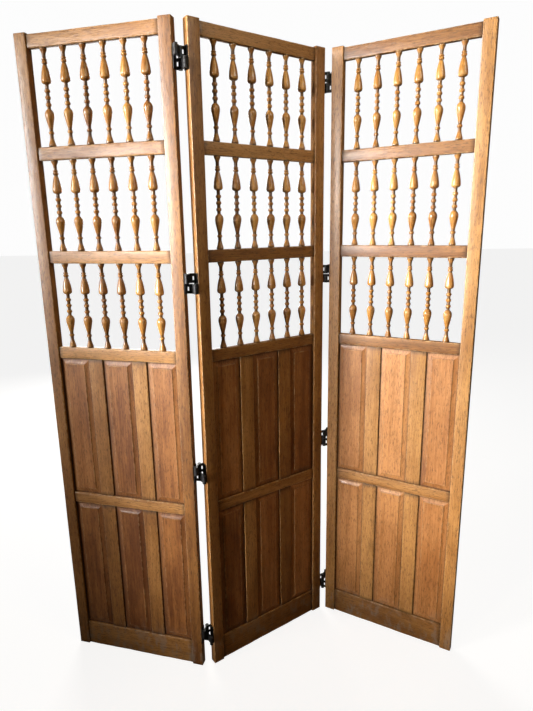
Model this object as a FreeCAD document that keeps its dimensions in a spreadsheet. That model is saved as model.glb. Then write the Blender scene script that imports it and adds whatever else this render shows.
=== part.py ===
import FreeCAD, Part
import math
import os
import re

import Sketcher

# A three-leaf folding wooden screen, in millimetres. +Z is up and the screen faces -Y. The
# origin is at floor level under the centre of the middle leaf. Each leaf has its own frame:
# X runs along its width from the left stile's outer edge, Y goes from its front face (0) to
# its back face, and Z is the height above the floor.
SIZES = {
    # leaf framing
    "stile_height": 1830,
    "leaf_width": 436,
    "stile_width": 34,
    "stile_depth": 23,
    "stile_arris": 2,
    "top_horn": 3.5,
    "rail_height": 34,
    "rail_depth": 15,
    "rail_arris": 3,
    "base_rail_height": 82,
    "spindle_opening": 238,
    "lower_opening": 434,
    # framing joints
    "tenon_length": 16,
    "tenon_depth": 8,
    "glue_gap": 0.1,
    "groove_width": 4,
    "groove_depth": 8,
    "tongue_length": 6.5,
    # muntins and raised panels
    "muntin_width": 44,
    "muntin_depth": 13.5,
    "muntin_arris": 1.5,
    "raised_columns": 3,
    "raised_depth": 12.5,
    "raised_bevel": 16.5,
    "raised_step": 1,
    "raised_cove": 0.8,
    # turned spindles
    "spindle_count": 6,
    "spindle_end_share": 0.75,
    "spindle_pin_radius": 4.5,
    "spindle_pin_length": 11,
    "collar_radius": 8.6,
    "foot_radius": 8.6,
    "neck_radius": 4.7,
    "bead_radius": 7.1,
    "bell_radius": 11.8,
    "urn_radius": 11.2,
    # double-action hinges
    "leaf_gap": 20,
    "hinge_offset": 1.5,
    "hinge_count": 4,
    "hinge_height": 54,
    "hinge_slot": 2,
    "hinge_inset_top": 89,
    "hinge_inset_base": 106,
    "plate_depth": 2,
    "web_depth": 3,
    "web_relief": 0.5,
    "knuckle_radius": 5.5,
    "knuckle_height": 8,
    "knuckle_gap": 0.3,
    "hinge_pin_radius": 2,
    "pin_clearance": 0.05,
    "screw_radius": 1.5,
    "screw_head_radius": 3,
    "screw_length": 15,
    "screw_pitch": 18,
    "screws_per_plate": 3,
    # standing position
    "middle_turn": 36,
    "left_fold": 50,
    "right_fold": 65,
}
ARC_MID = 1 - math.sqrt(0.5)

# Sizes that follow from the ones above.
OPENING = "(leaf_width - 2 * stile_width)"
HALF_GAP = "(leaf_gap / 2)"
RAISED_WIDTH = f"(({OPENING} - (raised_columns - 1) * muntin_width) / raised_columns)"
RAISED_PITCH = f"({RAISED_WIDTH} + muntin_width)"
SPINDLE_PITCH = f"({OPENING} / (spindle_count - 1 + 2 * spindle_end_share))"
SPINDLE_START = f"(spindle_end_share * {SPINDLE_PITCH})"
MORTISE_LENGTH = "(tenon_length + glue_gap)"
TOP_RAIL = "(stile_height - top_horn - rail_height)"
SPINDLE_STEP = "(spindle_opening + rail_height)"
WAIST_RAIL = "(base_rail_height + lower_opening)"
SEAT_RAIL = f"({TOP_RAIL} - 3 * {SPINDLE_STEP})"
UPPER_OPENING = f"({SEAT_RAIL} - {WAIST_RAIL} - rail_height)"
HALF_HINGE = "((hinge_height - hinge_slot) / 2)"
UPPER_HALF = f"({HALF_HINGE} + hinge_slot)"
HINGE_SPAN = "(stile_height - hinge_inset_top - hinge_inset_base)"
HINGE_START = "(hinge_inset_base - hinge_height / 2)"
SCREW_SPAN = "((screws_per_plate - 1) * screw_pitch)"
MIDDLE_SIDE = "(stile_depth / 2)"
# Hinge axes and the leaf's right edge, measured from the middle of the leaf.
EDGE = "(leaf_width / 2)"
AXIS_X = f"({EDGE} + {HALF_GAP})"
AXIS_Y = f"({MIDDLE_SIDE} + hinge_offset)"

# Each rail: name, bottom height, height, what meets it from below and from above.
RAILS = (
    ("top_rail", TOP_RAIL, "rail_height", "spindles", None),
    ("high_rail", f"({TOP_RAIL} - {SPINDLE_STEP})", "rail_height", "spindles", "spindles"),
    ("middle_rail", f"({TOP_RAIL} - 2 * {SPINDLE_STEP})", "rail_height", "spindles", "spindles"),
    ("seat_rail", SEAT_RAIL, "rail_height", "groove", "spindles"),
    ("waist_rail", WAIST_RAIL, "rail_height", "groove", "groove"),
    ("base_rail", "0", "base_rail_height", None, "groove"),
)
SPINDLE_ROWS = (
    ("top_spindles", f"({TOP_RAIL} - spindle_opening)"),
    ("middle_spindles", f"({TOP_RAIL} - {SPINDLE_STEP} - spindle_opening)"),
    ("lower_spindles", f"({SEAT_RAIL} + rail_height)"),
)
RAISED_ROWS = (
    ("upper", f"({WAIST_RAIL} + rail_height)", UPPER_OPENING),
    ("lower", "base_rail_height", "lower_opening"),
)

doc = FreeCAD.newDocument("folding_screen")
sheet = doc.addObject("Spreadsheet::Sheet", "dims")
for row, (alias, number) in enumerate(SIZES.items(), 1):
    sheet.set(f"A{row}", alias)
    sheet.set(f"B{row}", str(number))
    sheet.setAlias(f"B{row}", alias)
doc.recompute()

ALIAS = re.compile(r"\b(" + "|".join(SIZES) + r")\b")


def sized(expression):
    """An expression in size names, written as the document's objects read it."""
    return ALIAS.sub(r"dims.\1", str(expression))


def value(expression):
    """The number that an expression in size names stands for."""
    return float(sheet.evalExpression(sized(expression)))


def bind(target, **expressions):
    """Ties properties of an object to the sheet; a double underscore stands for a dot."""
    for name, expression in expressions.items():
        target.setExpression(name.replace("__", "."), sized(expression))


def turned(x, y, angle):
    """The two coordinates of a point after a turn about Z, as expressions."""
    across = f"(({x}) * cos({angle}) - ({y}) * sin({angle}))"
    along = f"(({x}) * sin({angle}) + ({y}) * cos({angle}))"
    return across, along


def moved(point, step):
    """The sum of two points given as expressions."""
    return tuple(f"({a} + {b})" for a, b in zip(point, step))


# Where each leaf's frame stands: its origin and its turn about Z.
MIDDLE_ORIGIN = turned("-leaf_width / 2", "-stile_depth / 2", "middle_turn")
LEFT_TURN = "(middle_turn - left_fold)"
RIGHT_TURN = "(middle_turn - right_fold)"
BACK_AXIS = "(stile_depth + hinge_offset)"
LEFT_PIVOT = moved(MIDDLE_ORIGIN, turned(f"-{HALF_GAP}", BACK_AXIS, "middle_turn"))
RIGHT_PIVOT = moved(
    MIDDLE_ORIGIN, turned(f"leaf_width + {HALF_GAP}", "-hinge_offset", "middle_turn")
)
LEFT_REACH = turned(f"-{HALF_GAP} - leaf_width", f"-{BACK_AXIS}", LEFT_TURN)
LEFT_ORIGIN = moved(LEFT_PIVOT, LEFT_REACH)
RIGHT_ORIGIN = moved(RIGHT_PIVOT, turned(HALF_GAP, "hinge_offset", RIGHT_TURN))
LEAVES = {
    "left": (LEFT_ORIGIN, LEFT_TURN),
    "middle": (MIDDLE_ORIGIN, "middle_turn"),
    "right": (RIGHT_ORIGIN, RIGHT_TURN),
}

parts = []


def stand(piece, leaf, x="0", y="0", z="0", turn="0"):
    """Places a piece in its leaf's frame, and lists it as a sub-part."""
    origin, angle = LEAVES[leaf]
    spot = moved(origin, turned(x, y, angle))
    piece.Placement = FreeCAD.Placement(
        FreeCAD.Vector(0, 0, 0), FreeCAD.Rotation(FreeCAD.Vector(0, 0, 1), 1)
    )
    bind(
        piece,
        Placement__Base__x=spot[0],
        Placement__Base__y=spot[1],
        Placement__Base__z=z,
        Placement__Rotation__Angle=f"{angle} + {turn}",
    )
    parts.append(piece)


def new_body(name):
    """An empty body that may hold several separate solids."""
    body = doc.addObject("PartDesign::Body", name)
    body.Label = name
    body.AllowCompound = True
    return body


def origin_feature(body, role):
    """One of a body's own planes or axes, by its role."""
    return next(f for f in body.Origin.OriginFeatures if f.Role == role)


def sketch_on(body, role, **offset):
    """A sketch on one of a body's own planes, with its attachment offset tied to the sheet."""
    sketch = body.newObject("Sketcher::SketchObject", body.Name + "_sketch")
    sketch.AttachmentSupport = [(origin_feature(body, role), "")]
    sketch.MapMode = "FlatFace"
    for axis, expression in offset.items():
        sketch.setExpression(f"AttachmentOffset.Base.{axis}", sized(expression))
    return sketch


def held(geometry, position, point):
    """Constraints that hold one point of a sketch at two coordinates, each with the
    expression that it is tied to."""
    rules = []
    for kind, axis, expression in (("DistanceX", -2, point[0]), ("DistanceY", -1, point[1])):
        number = value(expression)
        if abs(number) < 1e-9:
            rule = Sketcher.Constraint("PointOnObject", geometry, position, axis)
            rules.append((rule, None))
        else:
            rule = Sketcher.Constraint(kind, -1, 1, geometry, position, number)
            rules.append((rule, expression))
    return rules


def constrain(sketch, rules):
    """Adds constraints to a sketch in one go and ties them to the sheet."""
    indices = sketch.addConstraint([rule for rule, expression in rules])
    for index, (rule, expression) in zip(indices, rules):
        if expression is not None:
            sketch.setExpression(f"Constraints[{index}]", sized(expression))


def outline(sketch, corners):
    """A closed outline. A corner is (x, y), or (x, y, through_x, through_y) where an arc runs
    from it through the second point to the next corner."""
    spots = [FreeCAD.Vector(value(c[0]), value(c[1]), 0) for c in corners]
    edges = []
    rules = []
    for index, corner in enumerate(corners):
        start = spots[index]
        end = spots[(index + 1) % len(corners)]
        if len(corner) == 2:
            edges.append(sketch.addGeometry(Part.LineSegment(start, end), False))
            continue
        through = FreeCAD.Vector(value(corner[2]), value(corner[3]), 0)
        edges.append(sketch.addGeometry(Part.Arc(start, through, end), False))
        mark = sketch.addGeometry(Part.Point(through), True)
        rules.append((Sketcher.Constraint("PointOnObject", mark, 1, edges[-1]), None))
        rules += held(mark, 1, corner[2:])

    def end_at(edge, spot):
        """Which end of an edge lies at a spot: 1 for its start, 2 for its end."""
        return 1 if sketch.getPoint(edge, 1).distanceToPoint(spot) < 1e-6 else 2

    for index, edge in enumerate(edges):
        before = edges[index - 1]
        spot = spots[index]
        ends = (before, end_at(before, spot), edge, end_at(edge, spot))
        rules.append((Sketcher.Constraint("Coincident", *ends), None))
        rules += held(edge, end_at(edge, spot), corners[index])
    constrain(sketch, rules)


def rectangle(sketch, low, high):
    """A rectangle between two corners."""
    outline(sketch, [low, (high[0], low[1]), high, (low[0], high[1])])


def rounded(sketch, low, high, radius):
    """A rectangle between two corners, with its four corners rounded."""
    (x0, y0), (x1, y1) = low, high
    cut = f"({ARC_MID} * {radius})"
    corners = [
        (f"{x0} + {radius}", y0),
        (f"{x1} - {radius}", y0, f"{x1} - {cut}", f"{y0} + {cut}"),
        (x1, f"{y0} + {radius}"),
        (x1, f"{y1} - {radius}", f"{x1} - {cut}", f"{y1} - {cut}"),
        (f"{x1} - {radius}", y1),
        (f"{x0} + {radius}", y1, f"{x0} + {cut}", f"{y1} - {cut}"),
        (x0, f"{y1} - {radius}"),
        (x0, f"{y0} + {radius}", f"{x0} + {cut}", f"{y0} + {cut}"),
    ]
    outline(sketch, corners)


def circle(sketch, centre, radius):
    """A circle about a centre, both tied to the sheet."""
    middle = FreeCAD.Vector(value(centre[0]), value(centre[1]), 0)
    curve = Part.Circle(middle, FreeCAD.Vector(0, 0, 1), value(radius))
    ring = sketch.addGeometry(curve, False)
    size = (Sketcher.Constraint("Radius", ring, value(radius)), radius)
    constrain(sketch, held(ring, 3, centre) + [size])


def extrude(body, kind, sketch, length, backwards=False):
    """A Pad or a Pocket of a sketch, which must change the body's volume."""
    before = body.Shape.Volume if body.Tip else 0
    feature = body.newObject(f"PartDesign::{kind}", f"{body.Name}_{kind}")
    feature.Profile = sketch
    feature.Reversed = backwards
    bind(feature, Length=length)
    body.Tip = feature
    sketch.Visibility = False
    doc.recompute()
    if abs(body.Shape.Volume - before) < 1e-3:
        raise RuntimeError(f"{feature.Name} changes nothing")
    return feature


def revolve(body, kind, sketch, axis):
    """A Revolution or a Groove of a sketch about one of the sketch's own axes."""
    before = body.Shape.Volume if body.Tip else 0
    feature = body.newObject(f"PartDesign::{kind}", f"{body.Name}_{kind}")
    feature.Profile = sketch
    feature.ReferenceAxis = (sketch, [axis])
    feature.Angle = 360
    body.Tip = feature
    sketch.Visibility = False
    doc.recompute()
    if abs(body.Shape.Volume - before) < 1e-3:
        raise RuntimeError(f"{feature.Name} changes nothing")
    return feature


def repeat(body, role, span, count, feature=None):
    """Repeats one feature, or else the whole body, evenly over a span along an axis."""
    pattern = body.newObject("PartDesign::LinearPattern", f"{body.Name}_pattern")
    if feature:
        pattern.Originals = [feature]
    else:
        pattern.TransformMode = "Whole shape"
    pattern.Direction = (origin_feature(body, role), [""])
    bind(pattern, Length=span, Occurrences=count)
    body.Tip = pattern
    doc.recompute()
    return pattern


def stile(leaf, side):
    """A stile, with its inner edge at its own x = 0 and its width on the outer side."""
    outwards = 1 if side == "right" else -1
    inner_x = "leaf_width - stile_width" if side == "right" else "stile_width"
    body = new_body(f"{leaf}_leaf_{side}_stile")
    section = sketch_on(body, "XY_Plane")
    low_x, high_x = ("0", "stile_width") if side == "right" else ("-stile_width", "0")
    rounded(section, (low_x, "0"), (high_x, "stile_depth"), "stile_arris")
    extrude(body, "Pad", section, "stile_height")

    mortises = sketch_on(body, "YZ_Plane")
    half = "(tenon_depth / 2 + glue_gap)"
    for _, bottom, height, _, _ in RAILS:
        low = (f"{MIDDLE_SIDE} - {half}", f"{bottom} + groove_depth - glue_gap")
        high = (f"{MIDDLE_SIDE} + {half}", f"{bottom} + {height} - groove_depth + glue_gap")
        rectangle(mortises, low, high)
    extrude(body, "Pocket", mortises, MORTISE_LENGTH, side == "right")

    grooves = sketch_on(body, "YZ_Plane")
    for _, bottom, height in RAISED_ROWS:
        low = (f"{MIDDLE_SIDE} - groove_width / 2", f"{bottom} - groove_depth")
        high = (f"{MIDDLE_SIDE} + groove_width / 2", f"{bottom} + {height} + groove_depth")
        rectangle(grooves, low, high)
    extrude(body, "Pocket", grooves, "groove_depth", side == "right")

    if (leaf, side) not in (("left", "left"), ("right", "right")):
        pilots = sketch_on(body, "YZ_Plane", z=f"{outwards} * stile_width")
        for number in range(SIZES["screws_per_plate"]):
            height = f"hinge_inset_base - {SCREW_SPAN} / 2 + {number} * screw_pitch"
            circle(pilots, (MIDDLE_SIDE, height), "screw_radius + pin_clearance")
        pocket = extrude(body, "Pocket", pilots, "screw_length", side == "left")
        repeat(body, "Z_Axis", HINGE_SPAN, "hinge_count", pocket)
    stand(body, leaf, inner_x)


def rail(leaf, name, bottom, height, below, above):
    """A rail with a tenon at both ends, with spindle holes or panel grooves in its edges. The
    tenons are shouldered by the depth of the grooves, so the panels' corners clear them."""
    body = new_body(f"{leaf}_leaf_{name}")
    section = sketch_on(body, "YZ_Plane")
    rounded(section, ("-rail_depth / 2", "0"), ("rail_depth / 2", height), "rail_arris")
    extrude(body, "Pad", section, OPENING)

    tenons = sketch_on(body, "YZ_Plane", z="-tenon_length")
    low = ("-tenon_depth / 2", "groove_depth")
    rectangle(tenons, low, ("tenon_depth / 2", f"{height} - groove_depth"))
    extrude(body, "Pad", tenons, f"{OPENING} + 2 * tenon_length")

    for edge, meets in (("0", below), (height, above)):
        upwards = edge == "0"
        if meets == "spindles":
            hole = sketch_on(body, "XY_Plane", z=edge)
            circle(hole, (SPINDLE_START, "0"), "spindle_pin_radius + glue_gap")
            pocket = extrude(body, "Pocket", hole, "spindle_pin_length + glue_gap", upwards)
            span = f"(spindle_count - 1) * {SPINDLE_PITCH}"
            repeat(body, "X_Axis", span, "spindle_count", pocket)
        if meets == "groove":
            groove = sketch_on(body, "YZ_Plane")
            top = "groove_depth" if upwards else edge
            foot = "0" if upwards else f"{edge} - groove_depth"
            rectangle(groove, ("-groove_width / 2", foot), ("groove_width / 2", top))
            extrude(body, "Pocket", groove, OPENING, True)
    stand(body, leaf, "stile_width", MIDDLE_SIDE, bottom)


def spindle_outline():
    """Half the outline of a turned spindle, from the axis at the top down to the axis again.
    Heights are shares of the opening, measured down from the rail above."""

    def spot(share, radius, *through):
        """A corner at a share of the length, or an arc from it through a second such pair."""
        corner = (radius, f"(1 - {share}) * spindle_opening")
        if through:
            corner += (through[1], f"(1 - {through[0]}) * spindle_opening")
        return corner

    def bead(start, end, radius):
        """A half-round ring between two shares, standing up from the neck."""
        crest = (start + end) / 2
        return [spot(start, "neck_radius", crest, radius), spot(end, "neck_radius")]

    pin_top = "spindle_opening + spindle_pin_length"
    corners = [
        ("0", pin_top),
        ("spindle_pin_radius", pin_top),
        ("spindle_pin_radius", "spindle_opening"),
        spot(0, "collar_radius - 0.4", 0.01, "collar_radius"),
        spot(0.02, "collar_radius - 1", 0.04, "neck_radius + 1"),
        spot(0.075, "neck_radius"),
        spot(0.102, "neck_radius", 0.112, "bead_radius - 0.8"),
        spot(0.122, "neck_radius", 0.137, "bead_radius - 0.2"),
        spot(0.152, "neck_radius"),
        spot(0.16, "neck_radius + 0.6", 0.235, "bell_radius - 2.4"),
        spot(0.305, "bell_radius - 0.2", 0.322, "bell_radius"),
        spot(0.338, "bell_radius - 0.9", 0.352, "neck_radius + 2.9"),
        spot(0.368, "neck_radius + 0.2"),
    ]
    for start, end in ((0.402, 0.438), (0.468, 0.506), (0.54, 0.577)):
        corners += bead(start, end, "bead_radius")
    corners += [
        spot(0.598, "neck_radius + 0.1", 0.62, "urn_radius - 3.1"),
        spot(0.645, "urn_radius - 0.6", 0.68, "urn_radius"),
        spot(0.72, "urn_radius - 0.9", 0.775, "urn_radius - 3.4"),
        spot(0.815, "neck_radius + 0.2"),
    ]
    corners += bead(0.832, 0.862, "bead_radius - 0.5")
    corners += [
        spot(0.905, "neck_radius + 0.1", 0.945, "neck_radius + 1.8"),
        spot(0.975, "foot_radius - 0.6", 0.99, "foot_radius"),
        spot(1, "foot_radius - 0.5"),
        ("spindle_pin_radius", "0"),
        ("spindle_pin_radius", "-spindle_pin_length"),
        ("0", "-spindle_pin_length"),
    ]
    return corners


def spindles(leaf, name, bottom):
    """A row of turned spindles, each standing in holes in the rails above and below it."""
    body = new_body(f"{leaf}_leaf_{name}")
    profile = sketch_on(body, "XZ_Plane")
    outline(profile, spindle_outline())
    revolve(body, "Revolution", profile, "V_Axis")
    repeat(body, "X_Axis", f"(spindle_count - 1) * {SPINDLE_PITCH}", "spindle_count")
    stand(body, leaf, f"stile_width + {SPINDLE_START}", MIDDLE_SIDE, bottom)


def muntins(leaf, row, bottom, height):
    """The short uprights between raised panels, tongued into the rails' grooves."""
    body = new_body(f"{leaf}_leaf_{row}_muntins")
    section = sketch_on(body, "XY_Plane")
    low = ("0", "-muntin_depth / 2")
    rounded(section, low, ("muntin_width", "muntin_depth / 2"), "muntin_arris")
    extrude(body, "Pad", section, height)

    tongues = sketch_on(body, "XY_Plane", z="-tongue_length")
    half = "(groove_width / 2 - glue_gap)"
    rectangle(tongues, ("groove_depth", f"-{half}"), ("muntin_width - groove_depth", half))
    extrude(body, "Pad", tongues, f"{height} + 2 * tongue_length")

    grooves = sketch_on(body, "XY_Plane")
    for low_x, high_x in (("0", "groove_depth"), ("muntin_width - groove_depth", "muntin_width")):
        rectangle(grooves, (low_x, "-groove_width / 2"), (high_x, "groove_width / 2"))
    extrude(body, "Pocket", grooves, height, True)
    repeat(body, "X_Axis", f"(raised_columns - 2) * {RAISED_PITCH}", "raised_columns - 1")
    stand(body, leaf, f"stile_width + {RAISED_WIDTH}", MIDDLE_SIDE, bottom)


def raised_section(length, start="0"):
    """The outline of a raised panel cut across one way: a tongue at each end, a coved bevel
    up to a small step, and the flat field between, alike on the front and the back."""
    tongue = "(groove_width / 2 - glue_gap)"
    field = "(raised_depth / 2)"
    shoulder = f"({field} - raised_step)"
    through = f"(({tongue} + {shoulder}) / 2 - raised_cove)"
    far = f"({start} + {length})"
    near_end = f"{start} - tongue_length"
    far_end = f"{far} + tongue_length"
    near_bevel = f"{start} + raised_bevel"
    far_bevel = f"{far} - raised_bevel"
    near_curve = f"{start} + raised_bevel / 2"
    far_curve = f"{far} - raised_bevel / 2"
    return [
        (near_end, f"-{tongue}"),
        (start, f"-{tongue}", near_curve, f"-{through}"),
        (near_bevel, f"-{shoulder}"),
        (near_bevel, f"-{field}"),
        (far_bevel, f"-{field}"),
        (far_bevel, f"-{shoulder}", far_curve, f"-{through}"),
        (far, f"-{tongue}"),
        (far_end, f"-{tongue}"),
        (far_end, tongue),
        (far, tongue, far_curve, through),
        (far_bevel, shoulder),
        (far_bevel, field),
        (near_bevel, field),
        (near_bevel, shoulder, near_curve, through),
        (start, tongue),
        (near_end, tongue),
    ]


def run_out(name, sketch, length, turned_back=False):
    """A solid made by running a free sketch out along its normal, or against it, over a
    length and a tongue more at each end."""
    solid = doc.addObject("Part::Extrusion", name)
    solid.Base = sketch
    solid.DirMode = "Normal"
    solid.Solid = True
    solid.Reversed = turned_back
    bind(solid, LengthFwd=f"{length} + tongue_length", LengthRev="tongue_length")
    return solid


def raised_panels(leaf, row, bottom, height):
    """A row of raised panels: the section across the width met by the section up the height,
    which mitres the bevels at the corners."""
    name = f"{leaf}_leaf_{row}_raised_panels"
    across = doc.addObject("Sketcher::SketchObject", f"{name}_across")
    for column in range(SIZES["raised_columns"]):
        outline(across, raised_section(RAISED_WIDTH, f"({column} * {RAISED_PITCH})"))
    upright = doc.addObject("Sketcher::SketchObject", f"{name}_upright")
    upright.Placement.Rotation = FreeCAD.Rotation(
        FreeCAD.Vector(0, 0, 1), FreeCAD.Vector(0, 1, 0), FreeCAD.Vector(-1, 0, 0), "ZXY"
    )
    outline(upright, raised_section(height))
    tall = run_out(f"{name}_tall", across, height)
    wide = run_out(f"{name}_wide", upright, OPENING, True)
    panels = doc.addObject("Part::Common", name)
    panels.Label = name
    panels.Base = tall
    panels.Tool = wide
    stand(panels, leaf, "stile_width", MIDDLE_SIDE, bottom)


def knuckle_outline(behind):
    """A knuckle rolled from the plate: a strip from the stile's edge that runs into the barrel
    as its tangent, on the side of the axis towards the leaf's middle. behind is -1 for the
    front axis and 1 for the back one."""
    axis_y = f"({behind} * {AXIS_Y})"
    strip = f"{behind} * ({AXIS_Y} - knuckle_radius)"
    inner = f"{behind} * ({AXIS_Y} - knuckle_radius + plate_depth)"
    far = f"{axis_y} + {behind} * knuckle_radius"
    reach = "sqrt(knuckle_radius ^ 2 - (knuckle_radius - plate_depth) ^ 2)"
    return [
        (EDGE, inner),
        (f"{AXIS_X} - {reach}", inner, AXIS_X, far),
        (AXIS_X, strip),
        (EDGE, strip),
    ]


def screw_outline(gap):
    """Half the outline of a countersunk screw along X: the head's face lies flush with the
    plate's outer face and the shank runs back through the plate into the stile."""
    face = f"{EDGE} + plate_depth"
    head = f"screw_head_radius + {gap}"
    shank = f"screw_radius + {gap}"
    return [
        (face, "0"),
        (face, head),
        (f"{face} - screw_head_radius + screw_radius", shank),
        (f"{face} - screw_length", shank),
        (f"{face} - screw_length", "0"),
    ]


def along_edge(body, leaf, edge, lift="0"):
    """Repeats a hinge piece up the leaf's right edge, and places it on the edges named. Half
    a turn about the leaf's own middle brings it to the left edge."""
    repeat(body, "Z_Axis", HINGE_SPAN, "hinge_count")
    if edge == "both":
        pair = body.newObject("PartDesign::PolarPattern", f"{body.Name}_pair")
        pair.TransformMode = "Whole shape"
        pair.Axis = (origin_feature(body, "Z_Axis"), [""])
        pair.Angle = 360
        pair.Occurrences = 2
        body.Tip = pair
    turn = "180" if edge == "left" else "0"
    stand(body, leaf, "leaf_width / 2", MIDDLE_SIDE, f"{HINGE_START} + {lift}", turn)


def hinge_plates(name, leaf, edge):
    """The hinge plates on a screen leaf's edges. On a right edge the front knuckles are in the
    upper half and the back ones in the lower half."""
    body = new_body(name)
    plate = sketch_on(body, "XY_Plane")
    half = f"({AXIS_Y} - knuckle_radius + plate_depth)"
    rectangle(plate, (EDGE, f"-{half}"), (f"{EDGE} + plate_depth", half))
    extrude(body, "Pad", plate, "hinge_height")
    for behind, base in ((-1, UPPER_HALF), (1, "0")):
        for lift in ("0", f"({HALF_HINGE} - knuckle_height)"):
            knuckle = sketch_on(body, "XY_Plane", z=f"{base} + {lift}")
            outline(knuckle, knuckle_outline(behind))
            extrude(body, "Pad", knuckle, "knuckle_height")
    bore_axes(body, "hinge_height")
    countersink = sketch_on(body, "XZ_Plane", y=f"(hinge_height - {SCREW_SPAN}) / 2")
    outline(countersink, screw_outline("pin_clearance"))
    groove = revolve(body, "Groove", countersink, "H_Axis")
    repeat(body, "Z_Axis", SCREW_SPAN, "screws_per_plate", groove)
    along_edge(body, leaf, edge)


def bore_axes(body, height):
    """Bores a hinge piece through at the front and the back axis, free on the pins."""
    bores = sketch_on(body, "XY_Plane")
    for axis_y in (f"-{AXIS_Y}", AXIS_Y):
        circle(bores, (AXIS_X, axis_y), "hinge_pin_radius + pin_clearance")
    extrude(body, "Pocket", bores, height, True)


def hinge_webs(name, leaf, edge, lift):
    """The links that cross the gap: each joins a front axis to a back axis in one half of
    the hinge's height."""
    body = new_body(name)
    side = "web_depth / 2"
    waist = "(knuckle_height + knuckle_gap)"
    waist_height = f"{HALF_HINGE} - 2 * {waist}"
    reach = f"({AXIS_Y} - knuckle_radius - web_relief)"
    link = sketch_on(body, "XY_Plane")
    rectangle(link, (f"{AXIS_X} - {side}", f"-{reach}"), (f"{AXIS_X} + {side}", reach))
    extrude(body, "Pad", link, HALF_HINGE)
    neck = sketch_on(body, "XY_Plane", z=waist)
    rectangle(neck, (f"{AXIS_X} - {side}", f"-{AXIS_Y}"), (f"{AXIS_X} + {side}", AXIS_Y))
    extrude(body, "Pad", neck, waist_height)
    for axis_y in (f"-{AXIS_Y}", AXIS_Y):
        barrel = sketch_on(body, "XY_Plane", z=waist)
        circle(barrel, (AXIS_X, axis_y), "knuckle_radius")
        extrude(body, "Pad", barrel, waist_height)
    bore_axes(body, HALF_HINGE)
    along_edge(body, leaf, edge, lift)


def hinge_pins(name, leaf, edge):
    """The two pins in each hinge plate's knuckles."""
    body = new_body(name)
    for axis_y, base in ((f"-{AXIS_Y}", UPPER_HALF), (AXIS_Y, "0")):
        pin = sketch_on(body, "XY_Plane", z=base)
        circle(pin, (AXIS_X, axis_y), "hinge_pin_radius")
        extrude(body, "Pad", pin, HALF_HINGE)
    along_edge(body, leaf, edge)


def hinge_screws(name, leaf, edge):
    """The countersunk screws that hold the hinge plates."""
    body = new_body(name)
    screw = sketch_on(body, "XZ_Plane", y=f"(hinge_height - {SCREW_SPAN}) / 2")
    outline(screw, screw_outline("0"))
    revolve(body, "Revolution", screw, "H_Axis")
    repeat(body, "Z_Axis", SCREW_SPAN, "screws_per_plate")
    along_edge(body, leaf, edge)


def hinge_set(name, leaf, edge, web_lift):
    """All the hinge pieces that turn with one screen leaf."""
    hinge_plates(f"{name}_plates", leaf, edge)
    hinge_webs(f"{name}_webs", leaf, edge, web_lift)
    hinge_pins(f"{name}_pins", leaf, edge)
    hinge_screws(f"{name}_screws", leaf, edge)


def screen_leaf(leaf):
    """One leaf of the screen: its frame, spindles, muntins and raised panels."""
    for side in ("left", "right"):
        stile(leaf, side)
    for row in RAILS:
        rail(leaf, *row)
    for row in SPINDLE_ROWS:
        spindles(leaf, *row)
    for row in RAISED_ROWS:
        muntins(leaf, *row)
        raised_panels(leaf, *row)


for leaf_name in LEAVES:
    screen_leaf(leaf_name)
# Each hinge's upper web turns with the wing leaf and its lower web stays with the middle leaf.
hinge_set("left_leaf_hinge", "left", "right", UPPER_HALF)
hinge_set("right_leaf_hinge", "right", "left", UPPER_HALF)
hinge_set("middle_leaf_hinge", "middle", "both", "0")
doc.recompute()

for item in doc.Objects:
    if {"Invalid", "Error"} & set(item.State):
        raise RuntimeError(f"{item.Name} failed: {item.State}")
for piece in parts:
    if piece.Shape.isNull() or not piece.Shape.isValid():
        raise RuntimeError(f"{piece.Label} has no valid shape")

os.makedirs("parts", exist_ok=True)
for piece in parts:
    piece.Shape.exportStep(f"parts/{piece.Label}.step")
print(len(parts), "sub-parts")
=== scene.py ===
import math

import bpy
import numpy as np
from mathutils import Matrix, Vector


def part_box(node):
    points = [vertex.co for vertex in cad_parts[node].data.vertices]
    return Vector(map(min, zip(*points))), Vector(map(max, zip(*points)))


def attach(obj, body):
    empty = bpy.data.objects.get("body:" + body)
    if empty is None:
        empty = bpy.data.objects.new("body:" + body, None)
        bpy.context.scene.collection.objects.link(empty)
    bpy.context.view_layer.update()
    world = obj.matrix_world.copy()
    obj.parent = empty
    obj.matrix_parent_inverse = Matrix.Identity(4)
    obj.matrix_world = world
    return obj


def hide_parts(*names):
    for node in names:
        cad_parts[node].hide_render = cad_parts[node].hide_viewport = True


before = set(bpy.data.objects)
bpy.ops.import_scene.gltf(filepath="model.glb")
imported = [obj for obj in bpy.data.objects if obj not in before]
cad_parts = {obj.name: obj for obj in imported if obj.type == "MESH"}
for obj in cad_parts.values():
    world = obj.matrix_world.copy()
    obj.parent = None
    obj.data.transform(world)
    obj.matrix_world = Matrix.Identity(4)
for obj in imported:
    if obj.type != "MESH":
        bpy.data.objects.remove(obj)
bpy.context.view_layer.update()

# A three-leaf folding wooden screen. Every length is in metres.
LEAVES = ("left", "middle", "right")
RAILS = ("top_rail", "high_rail", "middle_rail", "seat_rail", "waist_rail", "base_rail")
SPINDLE_ROWS = ("top_spindles", "middle_spindles", "lower_spindles")
RAISED_ROWS = {"upper": ("waist_rail", "seat_rail"), "lower": ("base_rail", "waist_rail")}
# How much darker than the rest each leaf's raised panels are, or below zero how much paler.
PANEL_TONES = {"left": 0.6, "middle": 0.1, "right": -0.45}

# framing
STILE_ARRIS = 0.002
RAIL_ARRIS = 0.003
MUNTIN_ARRIS = 0.0015
ARRIS_WEAR = 0.35
END_ROUND = 0.0012
RING_STEP = 0.012
MUNTIN_WIDTH = 0.044

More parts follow.
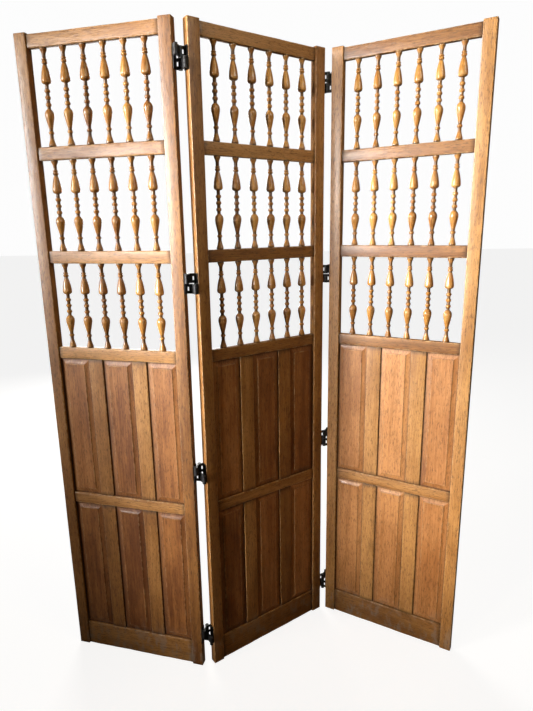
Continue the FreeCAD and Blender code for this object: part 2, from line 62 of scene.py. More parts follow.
# raised panels
RAISED_COLUMNS = 3
RAISED_BEVEL = 0.0165
RAISED_STEP = 0.001
RAISED_COVE = 0.0008
STEP_ROUND = 0.0003
FIELD_RIM = 0.004
TONGUE_LENGTH = 0.0065
TONGUE_HALF = 0.0019
# how far the painted shade reaches in from the bevel's foot, and how dark and how wide the painted
# shade at the foot of the step is
BEVEL_SHADE_REACH = 0.0035
STEP_SHADE = 0.5
STEP_SHADE_REACH = 0.0012

# turned spindles
SPINDLES_PER_ROW = 6
SPINDLE_END_SHARE = 0.75
PIN_RADIUS = 0.0045
PIN_LENGTH = 0.011
NECK = 0.0047
BEAD = 0.0073
BELL = 0.0122
URN = 0.0117
COLLAR = 0.0089
FOOT = 0.0094
QUIRK = 0.0013
# how dark the painted shade in a spindle's quirks is
QUIRK_SHADE = 0.7
CREST_WEAR = 0.6
TURNING_SIDES = 40
ARC_STEPS = 9
OUT_OF_TRUE = 0.012

# hand-worked drift along a piece: the waves in its length and how fast they fade
DRIFT_RATES = (2, 5, 11)
DRIFT_FADE = 0.6
DRIFT_PHASE = 6.28
DRIFT_TOTAL = 1.6
DRIFT_SHORTEST = 0.2

# edges and ends
# how far the soiling and painted shade reach out of a corner
CORNER_SOIL_AND_SHADE_REACH = 0.003
ARRIS_STEPS = 6
END_STEPS = 5
SOFT_CREASE = math.radians(35)
CRISP_CREASE = math.radians(6)


def chance(name):
    """A random generator with its own fixed seed for each name."""
    return np.random.default_rng([ord(letter) for letter in name])


class Leaf:
    """The frame of one screen leaf: x across it from its middle, y from front to back, z up."""

    def __init__(self, name):
        self.name = name
        self.body = f"{name}_leaf"
        left = self.middle_of("left_stile")
        right = self.middle_of("right_stile")
        across = right - left
        cos, sin = across.x / across.xy.length, across.y / across.xy.length
        middle = (left + right) / 2
        self.axes = np.array([[cos, -sin, 0], [sin, cos, 0], [0, 0, 1]])
        self.shift = np.array([middle.x, middle.y, 0])

    def middle_of(self, part):
        """The middle of one of the leaf's nodes."""
        low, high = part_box(f"{self.body}_{part}")
        return (low + high) / 2

    def box(self, part):
        """The lowest and highest corners of a node, measured in the leaf's own frame."""
        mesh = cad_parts[f"{self.body}_{part}"].data
        points = np.empty(len(mesh.vertices) * 3)
        mesh.vertices.foreach_get("co", points)
        local = (points.reshape(-1, 3) - self.shift) @ self.axes
        return local.min(0), local.max(0)

    def place(self, points):
        """Points of the leaf's frame, brought to the whole screen's frame."""
        return points @ self.axes.T + self.shift


# ---------------------------------------------------------------------------- surfaces


def wander(length, name):
    """Slow random drift along a length: three sines of rising frequency and falling size, each
    with a random phase. Returns a function of position with values between about -1 and 1."""
    source = chance(name)
    reach = max(length, DRIFT_SHORTEST)
    waves = [
        (2 * math.pi * rate / reach, source.uniform(0, DRIFT_PHASE), DRIFT_FADE**order)
        for order, rate in enumerate(DRIFT_RATES)
    ]

    def drift(position):
        total = sum(size * np.sin(turn * position + phase) for turn, phase, size in waves)
        return total / DRIFT_TOTAL

    return drift


def skin(rings):
    """Faces of a closed solid: quads between successive closed rings of points, and one face
    over each end. The rings run anticlockwise about the way they are stacked."""
    count, sides = rings.shape[:2]
    ring, side = np.meshgrid(np.arange(count - 1), np.arange(sides), indexing="ij")
    near = ring * sides
    after = (side + 1) % sides
    quads = np.stack([near + side, near + after, near + sides + after, near + sides + side], -1)
    ends = [np.arange(sides)[::-1], np.arange(sides) + (count - 1) * sides]
    return quads.reshape(-1, 4).tolist() + [end.tolist() for end in ends]


def solid(rings, middle, edge, soil_and_shade, name, order=(0, 1, 2), tone=0.0):
    """One closed solid with the values that its wood needs at each point: where it lies from
    the middle of its own board with z along the grain, how far it is on an arris (worn pale, and
    round a panel's field a painted highlight), how far in a corner or hollow (darkened with
    soiling and painted shade), and a random tone for the whole board."""
    spread = np.ones(rings.shape[:2])
    points = rings.reshape(-1, 3)
    return {
        "points": points[:, order],
        "faces": skin(rings),
        "grain": points - middle,
        "edge": (edge * spread).reshape(-1),
        "soil_and_shade": (soil_and_shade * spread).reshape(-1),
        "tone": np.full(len(points), chance(name).uniform() + tone),
    }


def board(low, high, along, arris, name, seams=0.0, grooved=(0, 0)):
    """A planed board: a rounded rectangle carried along one axis. Each corner is a quarter
    circle whose radius drifts along the length like a hand-worn arris, and both ends are
    rounded in by a quarter circle. seams darkens the ends that butt against a neighbour with
    soiling and painted shade, and grooved darkens the left and right edges up to a height,
    where panels stand in them, with painted shade."""
    order = {"x": [1, 2, 0], "z": [0, 1, 2]}[along]
    low = np.asarray(low)[order]
    high = np.asarray(high)[order]
    half = (high - low) / 2
    length = 2 * half[2]
    turn = np.linspace(0, np.pi / 2, END_STEPS)
    near = END_ROUND * (1 - np.cos(turn))
    inner = np.linspace(END_ROUND, length - END_ROUND, int(length / RING_STEP) + 2)[1:-1]
    place = np.concatenate([near, inner, length - near[::-1]])[:, None]
    end = END_ROUND * (1 - np.sin(turn))
    inset = np.concatenate([end, 0 * inner, end[::-1]])[:, None]
    bend = np.linspace(0, np.pi / 2, ARRIS_STEPS)
    quarters = []
    for quarter, (u_side, v_side) in enumerate(((1, 1), (-1, 1), (-1, -1), (1, -1))):
        worn = arris * (1 + ARRIS_WEAR * wander(length, f"{name} arris {quarter}")(place))
        radius = np.maximum(worn - inset, END_ROUND / 4)
        angle = bend + quarter * np.pi / 2
        u = u_side * (half[0] - inset - radius) + radius * np.cos(angle)
        v = v_side * (half[1] - inset - radius) + radius * np.sin(angle)
        quarters.append(np.stack([u, v], -1))
    lips = TONGUE_HALF * np.array([-1, 1])
    right = np.stack(np.broadcast_arrays(half[0] - inset, lips), -1)
    left = np.stack(np.broadcast_arrays(inset - half[0], -lips), -1)
    section = np.concatenate([right, *quarters[:2], left, *quarters[2:]], 1)
    height = np.broadcast_to((place - half[2])[..., None], section.shape[:2] + (1,))
    middle = (high + low) / 2
    rings = np.concatenate([section, height], -1) + middle
    flat = np.zeros(2)
    arc_edge = np.tile(np.sin(2 * bend) ** 0.5, 2)
    edge = np.concatenate([flat, arc_edge, flat, arc_edge])[None]
    # painted shade down the sides that stand in grooves
    sides = np.zeros(section.shape[:2])
    sides[:, :2] = place < grooved[1]
    sides[:, 2 + 2 * ARRIS_STEPS : 4 + 2 * ARRIS_STEPS] = place < grooved[0]
    # soiling and painted shade fading from the ends that butt against a neighbour
    ends = np.exp(-np.minimum(place, length - place) / CORNER_SOIL_AND_SHADE_REACH)
    soil_and_shade = np.maximum(sides, seams * ends)
    return solid(rings, middle, edge, soil_and_shade, name, np.argsort(order))


def arc(start, through, end):
    """Points along the circular arc from start through a middle point towards end: the centre
    is where the two chords' bisectors meet, and the angle runs evenly. The end is left out."""
    (ax, ay), (bx, by), (cx, cy) = start, through, end
    double = 2 * (ax * (by - cy) + bx * (cy - ay) + cx * (ay - by))
    squares = [x * x + y * y for x, y in (start, through, end)]
    ox = (squares[0] * (by - cy) + squares[1] * (cy - ay) + squares[2] * (ay - by)) / double
    oy = (squares[0] * (cx - bx) + squares[1] * (ax - cx) + squares[2] * (bx - ax)) / double
    first, middle, last = (math.atan2(y - oy, x - ox) for x, y in (start, through, end))
    sweep = (last - first) % (2 * math.pi)
    if (middle - first) % (2 * math.pi) > sweep:
        sweep -= 2 * math.pi
    angle = first + sweep * np.linspace(0, 1, ARC_STEPS, endpoint=False)
    radius = math.hypot(ax - ox, ay - oy)
    return np.stack([ox + radius * np.cos(angle), oy + radius * np.sin(angle)], 1)


def bead(start, end, radius=BEAD):
    """A half-round ring on a spindle's neck between two shares of its length."""
    return [(start, NECK, (start + end) / 2, radius), (end, NECK)]


# Half the outline of a spindle from the top down: the share of the length and the radius. A
# second pair is a point that an arc passes on its way to the next corner.
TURNING = [
    (0.0, COLLAR - 0.0004, 0.012, COLLAR),
    (0.026, COLLAR - 0.001, 0.046, NECK + 0.0011),
    (0.08, NECK),
    (0.104, NECK, 0.114, BEAD - 0.0007),
    (0.124, NECK, 0.141, BEAD - 0.0002),
    (0.158, NECK),
    (0.166, NECK + 0.0004, 0.235, BELL - 0.0028),
    (0.312, BELL - 0.0002, 0.328, BELL),
    (0.345, BELL - 0.0009, 0.354, BELL - 0.0034),
    (0.36, NECK + 0.0006),
    (0.366, NECK),
    *bead(0.405, 0.446),
    *bead(0.474, 0.515),
    *bead(0.545, 0.586),
    (0.606, NECK),
    (0.613, NECK + 0.0004, 0.63, URN - 0.0028),
    (0.652, URN - 0.0004, 0.672, URN),
    (0.7, URN - 0.0007, 0.765, URN - 0.0039),
    (0.812, NECK + 0.0005),
    *bead(0.836, 0.872, BEAD - 0.0004),
    (0.905, NECK + 0.0001, 0.945, NECK + 0.0021),
    (0.972, FOOT - 0.0006, 0.988, FOOT),
    (1.0, FOOT - 0.0005),
]


def turned_outline(length):
    """Depths below the top and radii down a spindle, with a plain pin beyond each end."""
    spots = [(corner[0] * length, corner[1]) for corner in TURNING]
    runs = [np.array([[-PIN_LENGTH, PIN_RADIUS], [0, PIN_RADIUS]])]
    for corner, start, end in zip(TURNING, spots, spots[1:]):
        if len(corner) == 4:
            runs.append(arc(start, (corner[2] * length, corner[3]), end))
        else:
            runs.append(np.linspace(start, end, 3, endpoint=False))
    runs.append(np.array([spots[-1], [length, PIN_RADIUS], [length + PIN_LENGTH, PIN_RADIUS]]))
    outline = np.concatenate(runs)
    return outline[:, 0], outline[:, 1]


def spindle(x, bottom, length, name):
    """A turned spindle: its outline spun about an upright axis, its radius a shade out of true
    along the length as hand turning leaves it."""
    down, radius = turned_outline(length)
    height = (length - down)[::-1]
    radius = (radius * (1 + OUT_OF_TRUE * wander(length, name)(down)))[::-1]
    angle = np.arange(TURNING_SIDES) * 2 * np.pi / TURNING_SIDES
    axis = np.array([x, 0, bottom])
    around = radius[:, None]
    upright = height[:, None] * np.ones(TURNING_SIDES)
    spun = [around * np.cos(angle), around * np.sin(angle), upright]
    # painted shade in the quirks beside the beads and collars; soiling and painted shade at the
    # ends that enter the rails
    quirk = np.clip((NECK + QUIRK - radius) / QUIRK, 0, 1)
    ends = np.exp(-np.clip(np.minimum(height, length - height), 0, None) / CORNER_SOIL_AND_SHADE_REACH)
    soil_and_shade = np.clip(QUIRK_SHADE * quirk + ends, 0, 1)[:, None]
    edge = np.clip((radius - BEAD) / (BELL - BEAD), 0, 1)[:, None] * CREST_WEAR
    return solid(np.stack(spun, -1) + axis, axis, edge, soil_and_shade, name)


def raised_panel(x0, x1, z0, z1, half_depth, name, tone):
    """A raised and fielded panel: a section carried round a rectangle, so that the bevels meet
    in straight mitres. From each face the section runs from the flat field over a small step
    and down a coved bevel to the thin tongue that stands in the frame's grooves."""
    shoulder = half_depth - RAISED_STEP
    cove = (RAISED_BEVEL / 2, (TONGUE_HALF + shoulder) / 2 - RAISED_COVE)
    half = np.concatenate(
        [
            [[-TONGUE_LENGTH, TONGUE_HALF]],
            arc((0.0, TONGUE_HALF), cove, (RAISED_BEVEL, shoulder)),
            [[RAISED_BEVEL, shoulder]],
            [[RAISED_BEVEL + STEP_ROUND, half_depth - STEP_ROUND]],
            [[RAISED_BEVEL + 3 * STEP_ROUND, half_depth]],
            [[RAISED_BEVEL + FIELD_RIM, half_depth]],
        ]
    )
    section = np.concatenate([half[::-1], half * [1, -1]])
    inset = section[:, :1]
    xs = np.concatenate([x0 + inset, x1 - inset, x1 - inset, x0 + inset], 1)
    zs = np.concatenate([z0 + inset, z0 + inset, z1 - inset, z1 - inset], 1)
    rings = np.stack([xs, section[:, 1:] * np.ones(4), zs], -1)
    # painted highlight: the rounded edge of the field is marked to be paled
    field_rim_highlight = np.exp(-(((inset - RAISED_BEVEL - STEP_ROUND) / STEP_ROUND / 3) ** 2))
    # painted shade where the bevel runs into the groove and at the foot of the step
    foot = np.exp(-(((inset - RAISED_BEVEL) / STEP_SHADE_REACH) ** 2)) * (inset <= RAISED_BEVEL)
    soil_and_shade = np.exp(-np.maximum(inset, 0) / BEVEL_SHADE_REACH) + STEP_SHADE * foot
    middle = np.array([(x0 + x1) / 2, 0, (z0 + z1) / 2])
    return solid(rings, middle, field_rim_highlight, soil_and_shade, name, tone=tone)


def make_piece(node, leaf, solids, material, crease=SOFT_CREASE):
    """One mesh of several closed solids in a leaf's frame. It rides on the leaf's body and
    stands for one node of the frame."""
    starts = np.cumsum([0] + [len(part["points"]) for part in solids])
    faces = [
        [start + corner for corner in face]
        for start, part in zip(starts, solids)
        for face in part["faces"]
    ]
    mesh = bpy.data.meshes.new(f"{node}_wood")
    points = np.concatenate([part["points"] for part in solids])
    mesh.from_pydata(leaf.place(points), [], faces)
    for mark, kind, field in (
        ("grain", "FLOAT_VECTOR", "vector"),
        ("edge", "FLOAT", "value"),
        ("soil_and_shade", "FLOAT", "value"),
        ("tone", "FLOAT", "value"),
    ):
        values = np.concatenate([part[mark] for part in solids]).astype(np.float32)
        mesh.attributes.new(mark, kind, "POINT").data.foreach_set(field, values.ravel())
    mesh.polygons.foreach_set("use_smooth", np.ones(len(faces), bool))
    mesh.set_sharp_from_angle(angle=crease)
    mesh.materials.append(material)
    piece = bpy.data.objects.new(f"{node}_wood", mesh)
    bpy.context.scene.collection.objects.link(piece)
    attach(piece, leaf.body)
    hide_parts(node)


# --------------------------------------------------------------------------- materials

# where the middle of the tree lies from a board: its lean, its reach aside, and its depth
PITH_LEAN = 0.07
PITH_ASIDE = 0.13
PITH_DEPTH = 0.07
PITH_NEAREST = 0.018

# the darkest stain's share that is left in pores, and its share in the soiling and painted shade of
# corners and hollows
INK_SHARE = 0.3
SOIL_AND_SHADE_SHARE = 0.16
SCUFFED = (0.3, 0.25, 0.2)
WOOD_RELIEF = 0.0002

IRON_BLACK = (0.011, 0.011, 0.012)
IRON_BROWN = (0.045, 0.028, 0.02)
IRON_DUST = (0.03, 0.032, 0.036)
IRON_RELIEF = 0.00012


class Value:
    """A shader value. Arithmetic on it adds Math nodes to its graph."""

    def __init__(self, graph, socket):
        self.graph = graph
        self.socket = socket

    def math(self, operation, *values, clamp=False):
        settings = {"operation": operation, "use_clamp": clamp}
        return self.graph.node("ShaderNodeMath", settings, dict(enumerate(values)))

    def __add__(self, other):
        return self.math("ADD", self, other)

    def __radd__(self, other):
        return self.math("ADD", other, self)

    def __sub__(self, other):
        return self.math("SUBTRACT", self, other)

    def __rsub__(self, other):
        return self.math("SUBTRACT", other, self)

    def __mul__(self, other):
        return self.math("MULTIPLY", self, other)

    def __rmul__(self, other):
        return self.math("MULTIPLY", other, self)

    def __pow__(self, other):
        return self.math("POWER", self, other)

    def fraction(self):
        """What is left of the value above a whole number."""
        return self.math("FRACT", self)

    def clipped(self):
        """The value held between 0 and 1."""
        return self.math("ADD", self, 0.0, clamp=True)

    def above(self, low, high):
        """0 below low, 1 above high, and a smooth rise between them."""
        settings = {"interpolation_type": "SMOOTHSTEP"}
        inputs = {"Value": self, "From Min": low, "From Max": high}
        return self.graph.node("ShaderNodeMapRange", settings, inputs)


class Graph:
    """The node graph of one material."""

    def __init__(self, name):
        self.material = bpy.data.materials.new(name)
        self.material.use_nodes = True
        self.tree = self.material.node_tree
        self.shader = self.tree.nodes["Principled BSDF"]

    def node(self, kind, settings=None, inputs=None, output=0):
        """Adds a node: its settings first, then the values or links of its inputs. Returns one
        of its outputs."""
        node = self.tree.nodes.new(kind)
        for key, setting in (settings or {}).items():
            setattr(node, key, setting)
        for key, given in (inputs or {}).items():
            if isinstance(given, Value):
                self.tree.links.new(given.socket, node.inputs[key])
            else:
                node.inputs[key].default_value = given
        return Value(self, node.outputs[output])

    def attribute(self, name, output="Fac"):
        """A value that the mesh carries at each point."""
        return self.node("ShaderNodeAttribute", {"attribute_name": name}, output=output)

    def object_place(self):
        """Where a point lies on the whole screen."""
        return self.node("ShaderNodeTexCoord", output="Object")

    def split(self, vector):
        """The three parts of a vector."""
        return [self.node("ShaderNodeSeparateXYZ", {}, {0: vector}, axis) for axis in range(3)]

    def joined(self, x, y, z):
        """A vector made of three values."""
        return self.node("ShaderNodeCombineXYZ", {}, {0: x, 1: y, 2: z})

    def plus(self, first, second):
        """The sum of two vectors."""
        return self.node("ShaderNodeVectorMath", {"operation": "ADD"}, {0: first, 1: second})

    def drawn_out(self, vector, shrink):
        """A vector shortened along the grain, so that a pattern read with it is drawn out."""
        return self.node("ShaderNodeMapping", {}, {"Vector": vector, "Scale": (1, 1, shrink)})

    def noise(self, vector, scale, detail=3.0, rough=0.5):
        """Soft random variation about a half."""
        inputs = {"Vector": vector, "Scale": scale, "Detail": detail, "Roughness": rough}
        return self.node("ShaderNodeTexNoise", {}, inputs)

    def ramp(self, factor, stops):
        """A colour ramp through stops of position and colour."""
        value = self.node("ShaderNodeValToRGB", {}, {0: factor})
        elements = value.socket.node.color_ramp.elements
        while len(elements) < len(stops):
            elements.new(0.5)
        for element, (position, colour) in zip(elements, stops):
            element.position = position
            element.color = (*colour, 1)
        return value

    def mix(self, factor, first, second):
        """One colour laid over another by a factor."""
        second = second if isinstance(second, Value) else (*second, 1)
        first = first if isinstance(first, Value) else (*first, 1)
        inputs = {0: factor, 6: first, 7: second}
        return self.node("ShaderNodeMix", {"data_type": "RGBA"}, inputs, 2)

    def constants(self, **values):
        """Numbers and colours that are the same all over, set on the shader itself."""
        for key, given in values.items():
            self.shader.inputs[key.replace("_", " ")].default_value = given

    def finish(self, colour, roughness, height, depth):
        """Joins the varying colour, roughness and bump to the shader."""
        bump = self.node("ShaderNodeBump", {}, {"Height": height, "Distance": depth})
        for key, given in (("Base Color", colour), ("Roughness", roughness), ("Normal", bump)):
            self.tree.links.new(given.socket, self.shader.inputs[key])
        return self.material


def growth_rings(graph, grain, tone, spacing):
    """Growth rings: the distance from a pith line that leans a little from the board's length
    and lies a few centimetres off it, different for each board. The value climbs through each
    ring and drops at its end."""
    x, y, z = graph.split(grain)
    lean = ((tone * 11.9).fraction() - 0.5) * PITH_LEAN
    aside = ((tone * 7.1).fraction() - 0.5) * PITH_ASIDE
    below = (tone * 3.7).fraction() * PITH_DEPTH + PITH_NEAREST
    sway = graph.noise(graph.drawn_out(grain, 0.12), 9, 2) - 0.5
    across = x + aside + z * lean + sway * 0.03
    deep = y + below + sway * 0.012
    radius = (across * across + deep * deep) ** 0.5
    return ((radius * (1 / spacing)).fraction()) ** 2.5


def wood(name, colours, worn, gloss, coat, spacing, figure, fleck):
    """Open-pored wood, stained and varnished. Growth rings, soft streaks and fine fibre run
    along the board. Short dark pores and flecks follow them. The stain lies in slow blotches,
    each board has its own tone and arrises are worn pale, which round a panel's field is a
    painted highlight. Corners and hollows are darkened with soiling and painted shade."""
    pale, mid, dark = colours
    graph = Graph(name)
    tone = graph.attribute("tone")
    edge = graph.attribute("edge")
    soil_and_shade = graph.attribute("soil_and_shade")
    grain = graph.attribute("grain", "Vector")
    stray = graph.plus(grain, graph.joined(tone * 17.3, tone * 11.7, tone * 23.9))
    place = graph.object_place()

    def along_grain(shrink, scale, detail, rough=0.5):
        """A pattern drawn out along this board."""
        return graph.noise(graph.drawn_out(stray, shrink), scale, detail, rough)

    rings = growth_rings(graph, grain, tone, spacing)
    streak = along_grain(0.05, 60, 3, 0.55) - 0.5
    fibre = along_grain(0.035, 520, 3, 0.6) - 0.5
    blotch = along_grain(0.4, 11, 4, 0.6) - 0.5
    shade = 0.45 + rings * (0.16 * figure) + streak * (0.9 * figure) + fibre * 0.6 + blotch * 1.1
    shade = (shade + (tone - 0.5) * 0.5).clipped()
    colour = graph.ramp(shade, [(0.08, pale), (0.5, mid), (0.95, dark)])

    ink = tuple(part * INK_SHARE for part in dark)
    soil_and_shade_colour = tuple(part * SOIL_AND_SHADE_SHARE for part in dark)
    pores = along_grain(0.03, 1300, 2).above(0.57, 0.7)
    flecks = along_grain(0.2, 330, 3, 0.7).above(0.52, 0.64)
    colour = graph.mix((pores * 0.45).clipped(), colour, ink)
    colour = graph.mix((flecks * fleck).clipped(), colour, ink)

    chafe = graph.noise(stray, 70, 4, 0.65)
    # arrises are worn pale; round each panel's field the same paling is a painted highlight
    rubbed_and_highlit = (edge * chafe.above(0.4, 0.66) * 0.7).clipped()
    colour = graph.mix(rubbed_and_highlit, colour, worn)
    # soiling and painted shade: points marked as lying in corners, hollows and grooves are darkened
    # towards the darkest stain
    soil_and_shade_mask = (soil_and_shade * (0.5 + chafe)).clipped()
    colour = graph.mix(soil_and_shade_mask, colour, soil_and_shade_colour)
    haze = graph.noise(place, 4.5, 3, 0.6)
    patina = along_grain(0.5, 26, 4, 0.6).above(0.58, 0.78)
    colour = graph.mix(patina * 0.3, colour, ink)

    height = graph.split(place)[2]
    scuffs = graph.noise(graph.drawn_out(place, 0.5), 42, 5, 0.7).above(0.47, 0.62)
    scuffs = (1 - height.above(0.015, 0.15)) * scuffs
    colour = graph.mix((scuffs * 0.5).clipped(), colour, SCUFFED)

    roughness = gloss + haze * 0.18 + pores * 0.2 + soil_and_shade_mask * 0.25 + scuffs * 0.2 - rubbed_and_highlit * 0.06
    relief = fibre * 0.5 - pores - flecks * 0.3 + rings * 0.12 + chafe * 0.2
    graph.constants(Coat_Weight=coat, Coat_Roughness=0.2)
    return graph.finish(colour, roughness.clipped(), relief, WOOD_RELIEF)


def black_iron():
    """Black japanned iron: lumpy, dusted pale in patches and browned where it is rubbed."""
    graph = Graph("black_iron")
    place = graph.object_place()
    rust = graph.noise(place, 180, 5, 0.65)
    cast = graph.noise(place, 900, 3, 0.6)
    patch = graph.noise(place, 35, 3, 0.6)
    colour = graph.mix(rust.above(0.58, 0.7) * 0.5, IRON_BLACK, IRON_BROWN)
    colour = graph.mix(patch.above(0.5, 0.75) * 0.6, colour, IRON_DUST)
    roughness = 0.33 + patch * 0.25 + rust * 0.12
    graph.constants(Metallic=0.35, Coat_Weight=0.1)
    return graph.finish(colour, roughness.clipped(), cast * 0.6 + rust * 0.4, IRON_RELIEF)


FRAME_WOOD = wood(
    "oiled_oak",
    colours=((0.5, 0.25, 0.078), (0.32, 0.14, 0.034), (0.15, 0.053, 0.011)),
    worn=(0.62, 0.42, 0.22),
    gloss=0.32,
    coat=0.15,
    spacing=0.0042,
    figure=0.8,
    fleck=0.55,
)
PANEL_WOOD = wood(
    "panel_oak",
    colours=((0.52, 0.235, 0.078), (0.35, 0.138, 0.036), (0.16, 0.05, 0.01)),
    # on the panels this pale colour only makes the painted highlight round each field
    worn=(0.56, 0.34, 0.16),
    gloss=0.34,
    coat=0.15,
    spacing=0.0055,
    figure=1.0,
    fleck=0.5,
)
SPINDLE_WOOD = wood(
    "turned_birch",
    colours=((0.58, 0.285, 0.07), (0.4, 0.168, 0.033), (0.17, 0.06, 0.012)),
    worn=(0.68, 0.42, 0.17),
    gloss=0.18,
    coat=0.45,
    spacing=0.006,
    figure=0.7,
    fleck=0.25,
)
BLACK_IRON = black_iron()

# ------------------------------------------------------------------------------ pieces


def frame_pieces(leaf, left, right):
    """The leaf's two stiles, and its six rails between them."""
    panelled = leaf.box("seat_rail")[0][2]
    for part, grooved in (("left_stile", (0, panelled)), ("right_stile", (panelled, 0))):
        low, high = leaf.box(part)
        node = f"{leaf.body}_{part}"
        stile = board(low, high, "z", STILE_ARRIS, node, grooved=grooved)
        make_piece(node, leaf, [stile], FRAME_WOOD)
    for part in RAILS:
        low, high = leaf.box(part)
        low[0], high[0] = left, right
        node = f"{leaf.body}_{part}"
        rail = board(low, high, "x", RAIL_ARRIS, node, seams=1.0)
        make_piece(node, leaf, [rail], FRAME_WOOD)


def spindle_pieces(leaf, left, right):
    """Three rows of turned spindles between the upper rails."""
    pitch = (right - left) / (SPINDLES_PER_ROW - 1 + 2 * SPINDLE_END_SHARE)
    for row, above, below in zip(SPINDLE_ROWS, RAILS, RAILS[1:]):
        bottom = leaf.box(below)[1][2]
        length = leaf.box(above)[0][2] - bottom
        node = f"{leaf.body}_{row}"
        turnings = [
            spindle(left + (SPINDLE_END_SHARE + place) * pitch, bottom, length, f"{node} {place}")
            for place in range(SPINDLES_PER_ROW)
        ]
        make_piece(node, leaf, turnings, SPINDLE_WOOD)


def panel_pieces(leaf, left, right):
    """Two rows of raised panels with muntins between them."""
    width = (right - left - (RAISED_COLUMNS - 1) * MUNTIN_WIDTH) / RAISED_COLUMNS
    starts = [left + column * (width + MUNTIN_WIDTH) for column in range(RAISED_COLUMNS)]
    tone = PANEL_TONES[leaf.name]
    for row, (below, above) in RAISED_ROWS.items():
        bottom = leaf.box(below)[1][2]
        top = leaf.box(above)[0][2]
        node = f"{leaf.body}_{row}_raised_panels"
        half_depth = leaf.box(f"{row}_raised_panels")[1][1]
        panels = [
            raised_panel(start, start + width, bottom, top, half_depth, f"{node} {column}", tone)
            for column, start in enumerate(starts)
        ]
        make_piece(node, leaf, panels, PANEL_WOOD, CRISP_CREASE)
        node = f"{leaf.body}_{row}_muntins"
        front, back = (corner[1] for corner in leaf.box(f"{row}_muntins"))
        muntins = [
            board(
                (start + width, front, bottom),
                (start + width + MUNTIN_WIDTH, back, top),
                "z",
                MUNTIN_ARRIS,
                f"{node} {column}",
                seams=1.0,
                grooved=(top, top),
            )
            for column, start in enumerate(starts[:-1])
        ]
        make_piece(node, leaf, muntins, FRAME_WOOD)


def hinge_finish():
    """Gives every hinge node its black iron."""
    for name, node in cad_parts.items():
        if "hinge" in name:
            node.data.materials.clear()
            node.data.materials.append(BLACK_IRON)


for leaf_name in LEAVES:
    screen_leaf = Leaf(leaf_name)
    inner_left = screen_leaf.box("left_stile")[1][0]
    inner_right = screen_leaf.box("right_stile")[0][0]
    for pieces in (frame_pieces, spindle_pieces, panel_pieces):
        pieces(screen_leaf, inner_left, inner_right)
hinge_finish()

# ------------------------------------------------------------------------------- stage

FLOOR_REACH = 30
FLOOR_PAINT = (0.3, 0.3, 0.3, 1)
FLOOR_GLOW = 0.87
FLOOR_BOUNCE = (0.2, 0.16, 0.12, 1)
SKY_WHITE = (0.98, 0.98, 0.98, 1)


def floor():
    """A pale matt floor. The camera sees it lit up, and it throws little light back."""
    reach = FLOOR_REACH
    corners = [(-reach, -reach, 0), (reach, -reach, 0), (reach, reach, 0), (-reach, reach, 0)]
    mesh = bpy.data.meshes.new("floor")
    mesh.from_pydata(corners, [], [(0, 1, 2, 3)])
    graph = Graph("floor_paint")
    graph.constants(Base_Color=FLOOR_PAINT, Roughness=0.9, Emission_Strength=FLOOR_GLOW)
    graph.constants(Emission_Color=(1, 1, 1, 1))
    dull = graph.node("ShaderNodeBsdfDiffuse", {}, {"Color": FLOOR_BOUNCE})
    seen = graph.node("ShaderNodeLightPath", output="Is Camera Ray")
    pale = Value(graph, graph.shader.outputs[0])
    blend = graph.node("ShaderNodeMixShader", {}, {0: seen, 1: dull, 2: pale})
    graph.tree.links.new(blend.socket, graph.tree.nodes["Material Output"].inputs["Surface"])
    mesh.materials.append(graph.material)
    plane = bpy.data.objects.new("floor", mesh)
    bpy.context.scene.collection.objects.link(plane)


def lamp(name, position, target, size, power, colour, spread=180):
    """A soft rectangular lamp aimed at a point."""
    data = bpy.data.lights.new(name, "AREA")
    data.shape = "RECTANGLE"
    data.size, data.size_y = size
    data.energy = power
    data.color = colour
    data.spread = math.radians(spread)
    lamp_object = bpy.data.objects.new(name, data)
    aim = (Vector(target) - Vector(position)).to_track_quat("-Z", "Y")
    lamp_object.matrix_world = Matrix.Translation(position) @ aim.to_matrix().to_4x4()
    bpy.context.scene.collection.objects.link(lamp_object)


def sky(strength, colour):
    """Even light from all round, seen by the camera as plain white."""
    world = bpy.data.worlds.new("studio")
    world.use_nodes = True
    tree = world.node_tree
    output = tree.nodes["World Output"]
    glow = tree.nodes["Background"]
    glow.inputs["Color"].default_value = (*colour, 1)
    glow.inputs["Strength"].default_value = strength
    white = tree.nodes.new("ShaderNodeBackground")
    white.inputs["Color"].default_value = SKY_WHITE
    seen = tree.nodes.new("ShaderNodeLightPath")
    blend = tree.nodes.new("ShaderNodeMixShader")
    tree.links.new(seen.outputs["Is Camera Ray"], blend.inputs[0])
    tree.links.new(glow.outputs[0], blend.inputs[1])
    tree.links.new(white.outputs[0], blend.inputs[2])
    tree.links.new(blend.outputs[0], output.inputs["Surface"])
    bpy.context.scene.world = world


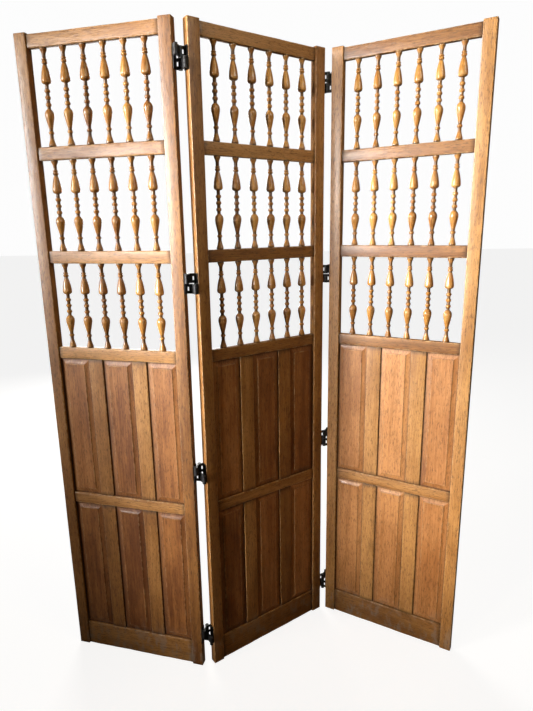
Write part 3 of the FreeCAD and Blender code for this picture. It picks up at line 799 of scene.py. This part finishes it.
def camera(place, yaw, pitch, roll, lens):
    """The camera, level and facing +Y, then rolled, pitched and yawed by degrees."""
    data = bpy.data.cameras.new("camera")
    data.lens = lens
    eye = bpy.data.objects.new("camera", data)
    turn = Matrix.Rotation(math.radians(yaw), 4, "Z") @ Matrix.Rotation(math.radians(pitch), 4, "X")
    turn = turn @ Matrix.Rotation(math.radians(roll), 4, "Y") @ Matrix.Rotation(math.pi / 2, 4, "X")
    eye.matrix_world = Matrix.Translation(place) @ turn
    bpy.context.scene.collection.objects.link(eye)
    bpy.context.scene.camera = eye


floor()
lamp(
    "tall_window",
    position=(-2.55, -1.4, 1.38),
    target=(0.6, -0.05, 1.2),
    size=(0.5, 2.0),
    power=6.2,
    colour=(1.0, 0.94, 0.9),
    spread=30,
)
lamp(
    "upper_window",
    position=(-2.55, -1.4, 1.75),
    target=(0.7, -0.1, 1.3),
    size=(0.5, 1.2),
    power=9.5,
    colour=(0.92, 0.97, 1.0),
    spread=30,
)
lamp(
    "high_window",
    position=(-1.75, -1.0, 2.2),
    target=(-0.42, -0.08, 1.7),
    size=(0.7, 0.7),
    power=2.6,
    colour=(1.0, 0.72, 0.4),
    spread=80,
)
lamp(
    "slot_window",
    position=(-1.9, -1.75, 1.3),
    target=(-0.18, -0.13, 1.1),
    size=(0.25, 2.0),
    power=1.6,
    colour=(1.0, 0.95, 0.9),
    spread=14,
)
lamp(
    "low_window",
    position=(-1.5, -2.0, 0.5),
    target=(0.72, -0.24, 0.42),
    size=(0.3, 0.4),
    power=1.4,
    colour=(1.0, 0.86, 0.66),
    spread=22,
)
lamp(
    "room_glow",
    position=(0.9, -1.0, 2.7),
    target=(0, 0, 1.5),
    size=(0.8, 0.8),
    power=2.5,
    colour=(1.0, 0.72, 0.3),
    spread=90,
)
lamp(
    "cool_window",
    position=(1.6, -1.5, 2.6),
    target=(0.0, 0.0, 1.55),
    size=(0.5, 0.5),
    power=0.42,
    colour=(0.66, 0.84, 1.0),
    spread=30,
)
lamp(
    "back_window",
    position=(-1.2, 3.2, 2.0),
    target=(0, 0, 0.9),
    size=(1.6, 1.6),
    power=70,
    colour=(1.0, 0.97, 0.92),
)
sky(strength=0.05, colour=(1.0, 0.9, 0.78))
camera(place=(0.0262, -1.5495, 1.3351), yaw=0.779, pitch=-13.39, roll=0.868, lens=27.0)
bpy.context.scene.view_settings.view_transform = "Standard"
